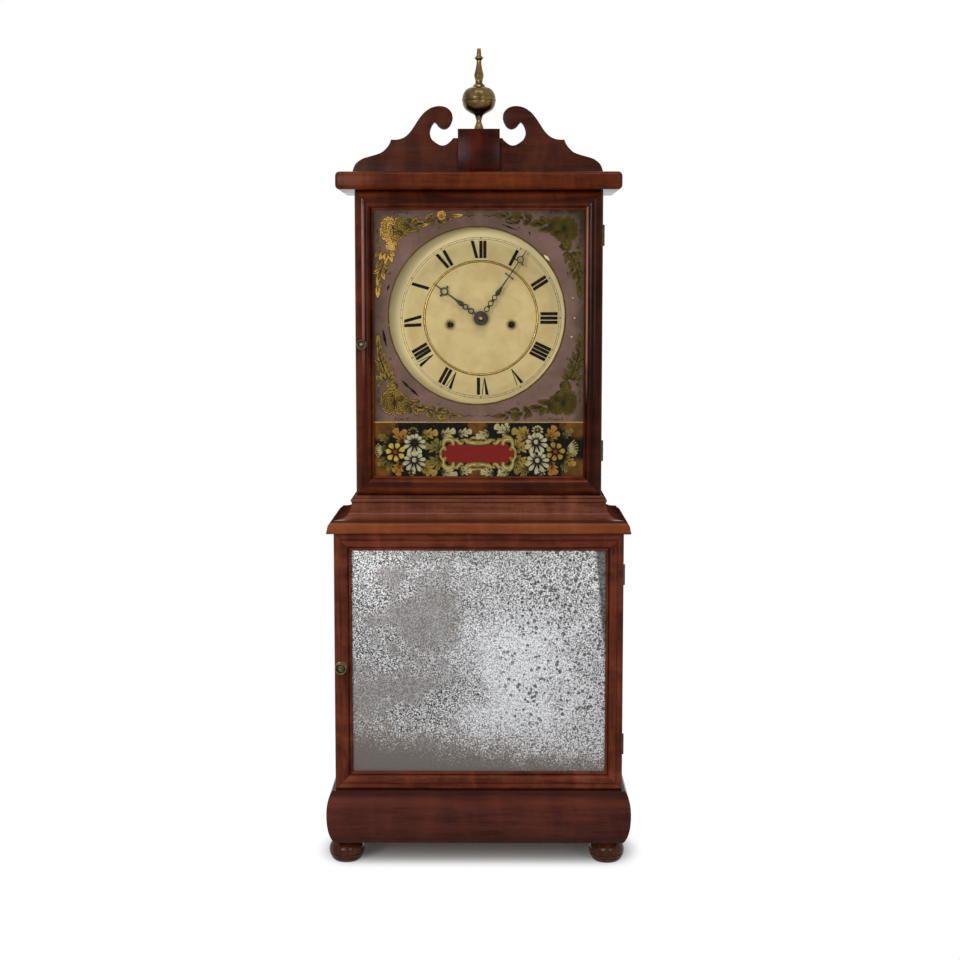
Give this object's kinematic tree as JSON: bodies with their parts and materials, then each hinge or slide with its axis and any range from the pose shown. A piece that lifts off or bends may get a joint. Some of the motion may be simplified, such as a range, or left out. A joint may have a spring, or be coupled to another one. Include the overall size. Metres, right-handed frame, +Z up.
{
  "type": "shelf clock",
  "caption": "Mahogany shelf clock with mirrored lower door, stepped waist, glazed hood door, scrolled crest, ball finial and weight-driven striking movement.",
  "frame": {"origin": "centre of the bounding box at the bottom of the feet", "axes": "+Z up, the front with the doors and dial faces -Y, +X is to the right seen from the front"},
  "size_m": [0.3604, 0.1664, 0.9611],
  "materials": {
    "mahogany": "worn french polish",
    "flame": "worn french polish",
    "crestWood": "dull polish",
    "pine": "bare",
    "brass": "tarnished",
    "iron": "as cast",
    "blackHand": "black japan",
    "dialPaint": "aged cream paint",
    "steel": "polished",
    "gut": "twisted gut",
    "glass": "painted on its back",
    "mirror": "worn silvering"
  },
  "bodies": {
    "case": {"foot_front_left": "mahogany", "foot_front_right": "mahogany", "foot_rear_left": "mahogany", "foot_rear_right": "mahogany", "base_moulding": "mahogany", "lower_side_left": "mahogany", "lower_side_right": "mahogany", "hood_side_left": "mahogany", "hood_side_right": "mahogany", "cornice": "mahogany", "bottom_board": "pine", "back_board": "pine", "waist_board": "pine", "seat_board": "pine", "waist_moulding_front": "flame", "waist_moulding_left": "flame", "waist_moulding_right": "flame", "crest": "crestWood", "finial_plinth": "crestWood", "finial": "brass", "movement_front_plate": "brass", "movement_back_plate": "brass", "hood_hinge_lower_case_leaf": "brass", "hood_hinge_upper_case_leaf": "brass", "lower_hinge_lower_case_leaf": "brass", "lower_hinge_upper_case_leaf": "brass", "dial_plate": "dialPaint", "bell": "steel", "time_line": "gut", "strike_line": "gut"},
    "hood_door": {"hood_door_stile_left": "mahogany", "hood_door_stile_right": "mahogany", "hood_door_rail_top": "mahogany", "hood_door_rail_bottom": "mahogany", "hood_hinge_lower_door_leaf": "brass", "hood_hinge_upper_door_leaf": "brass", "hood_door_glass": "glass"},
    "hood_latch": {"hood_door_knob": "brass"},
    "lower_door": {"lower_door_mirror_board": "pine", "lower_door_stile_left": "mahogany", "lower_door_stile_right": "mahogany", "lower_door_rail_top": "mahogany", "lower_door_rail_bottom": "mahogany", "lower_hinge_lower_door_leaf": "brass", "lower_hinge_upper_door_leaf": "brass", "lower_door_mirror": "mirror"},
    "lower_latch": {"lower_door_knob": "brass"},
    "centre_arbor": {"centre_wheel": "brass", "minute_hand": "blackHand"},
    "hour_hand": {"hour_hand": "blackHand"},
    "minute_wheel": {"minute_wheel": "brass"},
    "time_great_wheel": {"time_great_wheel": "brass"},
    "third_wheel": {"third_wheel": "brass"},
    "escape_wheel": {"escape_wheel": "brass"},
    "pallets": {"pallets": "steel"},
    "pendulum": {"pendulum": "brass"},
    "strike_great_wheel": {"strike_great_wheel": "brass"},
    "hammer": {"hammer": "steel"},
    "time_weight": {"time_weight": "iron"},
    "strike_weight": {"strike_weight": "iron"}
  },
  "joints": [
    {"name": "hood_door_swing", "type": "hinge", "parent": "case", "child": "hood_door", "pos_m": [0.1454, -0.0237, 0.6191], "axis": [0, 0, 1], "range_deg": [0, 110]},
    {"name": "lower_door_swing", "type": "hinge", "parent": "case", "child": "lower_door", "pos_m": [0.1707, -0.049, 0.2455], "axis": [0, 0, 1], "range_deg": [0, 110]},
    {"name": "hood_catch_turn", "type": "hinge", "parent": "hood_door", "child": "hood_latch", "pos_m": [-0.1364, -0.0339, 0.6187], "axis": [0, -1, 0], "range_deg": [0, 90]},
    {"name": "lower_catch_turn", "type": "hinge", "parent": "lower_door", "child": "lower_latch", "pos_m": [-0.1617, -0.0592, 0.2402], "axis": [0, -1, 0], "range_deg": [0, 90]},
    {"name": "minute_hand_turn", "type": "hinge", "parent": "case", "child": "centre_arbor", "pos_m": [0.0022, 0, 0.649], "axis": [0, 1, 0], "continuous": true},
    {"name": "hour_hand_turn", "type": "hinge", "parent": "case", "child": "hour_hand", "pos_m": [0.0022, -0.01, 0.649], "axis": [0, 1, 0], "continuous": true},
    {"name": "minute_wheel_turn", "type": "hinge", "parent": "case", "child": "minute_wheel", "pos_m": [0.0022, -0.004, 0.625], "axis": [0, 1, 0], "continuous": true},
    {"name": "time_great_wheel_turn", "type": "hinge", "parent": "case", "child": "time_great_wheel", "pos_m": [0.0387, 0.02, 0.6411], "axis": [0, 1, 0], "continuous": true},
    {"name": "third_wheel_turn", "type": "hinge", "parent": "case", "child": "third_wheel", "pos_m": [0.0142, 0.02, 0.67649], "axis": [0, 1, 0], "continuous": true},
    {"name": "escape_wheel_turn", "type": "hinge", "parent": "case", "child": "escape_wheel", "pos_m": [0.0022, 0.02, 0.69481], "axis": [0, 1, 0], "continuous": true},
    {"name": "pendulum_swing", "type": "hinge", "parent": "case", "child": "pendulum", "pos_m": [0.0022, 0.06, 0.71601], "axis": [0, 1, 0], "range_deg": [-3.5, 3.5]},
    {"name": "pallets_rock", "type": "hinge", "parent": "case", "child": "pallets", "pos_m": [0.0022, 0.02, 0.71601], "axis": [0, 1, 0], "range_deg": [-3.5, 3.5]},
    {"name": "strike_great_wheel_turn", "type": "hinge", "parent": "case", "child": "strike_great_wheel", "pos_m": [-0.0343, 0.02, 0.6411], "axis": [0, 1, 0], "continuous": true},
    {"name": "hammer_rock", "type": "hinge", "parent": "case", "child": "hammer", "pos_m": [-0.0518, 0.027, 0.705], "axis": [0, -1, 0], "range_deg": [0, 12], "stiffness_Nm_per_rad": 0.02},
    {"name": "time_weight_fall", "type": "slide", "parent": "case", "child": "time_weight", "axis": [0, 0, -1], "range_m": [-0.15, 0.16], "deforming": ["time_line"]},
    {"name": "strike_weight_fall", "type": "slide", "parent": "case", "child": "strike_weight", "axis": [0, 0, -1], "range_m": [-0.15, 0.16], "deforming": ["strike_line"]}
  ],
  "couplings": [
    {"joint": "hour_hand_turn", "follows": "minute_hand_turn", "ratio": 0.083333},
    {"joint": "minute_wheel_turn", "follows": "minute_hand_turn", "ratio": -0.33333},
    {"joint": "time_great_wheel_turn", "follows": "minute_hand_turn", "ratio": -0.11111},
    {"joint": "third_wheel_turn", "follows": "minute_hand_turn", "ratio": -9},
    {"joint": "escape_wheel_turn", "follows": "minute_hand_turn", "ratio": 84.857},
    {"joint": "pallets_rock", "follows": "pendulum_swing", "ratio": 1}
  ]
}
